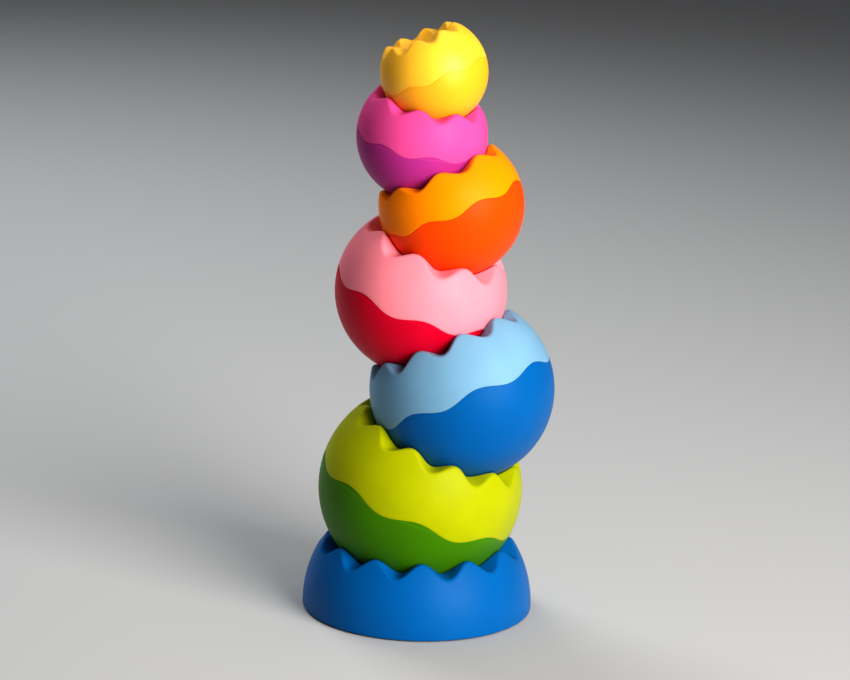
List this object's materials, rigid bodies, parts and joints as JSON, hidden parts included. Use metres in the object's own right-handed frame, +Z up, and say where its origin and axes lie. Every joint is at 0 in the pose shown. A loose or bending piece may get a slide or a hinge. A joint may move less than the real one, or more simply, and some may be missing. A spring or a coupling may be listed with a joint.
{
  "type": "stacking ball tower",
  "caption": "Leaning tower of two-tone weighted balls, each with a jagged round cup on top that holds the next, on a jagged dome base.",
  "frame": {"origin": "middle of the base's underside, on the surface it stands on", "axes": "+Z up; the balls lean to and fro mostly along X; -Y is the side that the reference view shows"},
  "size_m": [0.1223, 0.115, 0.2978],
  "materials": {
    "base_plastic": "satin soft touch",
    "foot_rubber": "matte",
    "weight_iron": "as cast",
    "tray_plastic": "moulded",
    "green_light": "satin soft touch",
    "green_dark": "satin soft touch",
    "blue_light": "satin soft touch",
    "blue_dark": "satin soft touch",
    "pink_light": "satin soft touch",
    "pink_dark": "satin soft touch",
    "orange_light": "satin soft touch",
    "orange_dark": "satin soft touch",
    "purple_light": "satin soft touch",
    "purple_dark": "satin soft touch",
    "yellow_light": "satin soft touch",
    "yellow_dark": "satin soft touch"
  },
  "bodies": {
    "base": {"base_shell": "base_plastic", "base_plate": "base_plastic", "foot_pad": "foot_rubber"},
    "green_ballast": {"green_weight": "weight_iron", "green_weight_tray": "tray_plastic"},
    "green_ball": {"green_upper_shell": "green_light", "green_lower_shell": "green_dark"},
    "blue_ballast": {"blue_weight": "weight_iron", "blue_weight_tray": "tray_plastic"},
    "blue_ball": {"blue_upper_shell": "blue_light", "blue_lower_shell": "blue_dark"},
    "pink_ballast": {"pink_weight": "weight_iron", "pink_weight_tray": "tray_plastic"},
    "pink_ball": {"pink_upper_shell": "pink_light", "pink_lower_shell": "pink_dark"},
    "orange_ballast": {"orange_weight": "weight_iron", "orange_weight_tray": "tray_plastic"},
    "orange_ball": {"orange_upper_shell": "orange_light", "orange_lower_shell": "orange_dark"},
    "purple_ballast": {"purple_weight": "weight_iron", "purple_weight_tray": "tray_plastic"},
    "purple_ball": {"purple_upper_shell": "purple_light", "purple_lower_shell": "purple_dark"},
    "yellow_ballast": {"yellow_weight": "weight_iron", "yellow_weight_tray": "tray_plastic"},
    "yellow_ball": {"yellow_upper_shell": "yellow_light", "yellow_lower_shell": "yellow_dark"}
  },
  "joints": [
    {"name": "green_rock", "type": "hinge", "parent": "base", "child": "green_ballast", "pos_m": [0, 0, 0.0624], "axis": [-0.225, -0.9744, 0], "range_deg": [-29, 70]},
    {"name": "green_turn", "type": "hinge", "parent": "green_ballast", "child": "green_ball", "pos_m": [0, 0, 0.0624], "axis": [0.3396, -0.0784, 0.9373], "continuous": true},
    {"name": "blue_rock", "type": "hinge", "parent": "green_ball", "child": "blue_ballast", "pos_m": [0.01909, -0.00441, 0.11507], "axis": [0.3144, 0.9486, -0.0346], "range_deg": [-3, 96]},
    {"name": "blue_turn", "type": "hinge", "parent": "blue_ballast", "child": "blue_ball", "pos_m": [0.01909, -0.00441, 0.11507], "axis": [-0.4143, 0.1699, 0.8942], "continuous": true},
    {"name": "pink_rock", "type": "hinge", "parent": "blue_ball", "child": "pink_ballast", "pos_m": [-0.00287, 0.0046, 0.16246], "axis": [-0.3814, -0.9244, -0.001], "range_deg": [-5, 94]},
    {"name": "pink_turn", "type": "hinge", "parent": "pink_ballast", "child": "pink_ball", "pos_m": [-0.00287, 0.0046, 0.16246], "axis": [0.2899, -0.1207, 0.9494], "continuous": true},
    {"name": "orange_rock", "type": "hinge", "parent": "pink_ball", "child": "orange_ballast", "pos_m": [0.01081, -0.0011, 0.20728], "axis": [0.2785, 0.9597, 0.0369], "range_deg": [-6, 93]},
    {"name": "orange_turn", "type": "hinge", "parent": "orange_ballast", "child": "orange_ball", "pos_m": [0.01081, -0.0011, 0.20728], "axis": [-0.4185, 0.0867, 0.9041], "continuous": true},
    {"name": "purple_rock", "type": "hinge", "parent": "orange_ball", "child": "purple_ballast", "pos_m": [-0.00463, 0.0021, 0.24064], "axis": [-0.3346, -0.9401, -0.0648], "range_deg": [-14, 85]},
    {"name": "purple_turn", "type": "hinge", "parent": "purple_ballast", "child": "purple_ball", "pos_m": [-0.00463, 0.0021, 0.24064], "axis": [0.1481, -0.1203, 0.9816], "continuous": true},
    {"name": "yellow_rock", "type": "hinge", "parent": "purple_ball", "child": "yellow_ballast", "pos_m": [0.00027, -0.00188, 0.27313], "axis": [0.2725, 0.9591, 0.0765], "range_deg": [-16, 83]},
    {"name": "yellow_turn", "type": "hinge", "parent": "yellow_ballast", "child": "yellow_ball", "pos_m": [0.00027, -0.00188, 0.27313], "axis": [-0.3937, 0.0386, 0.9184], "continuous": true}
  ]
}
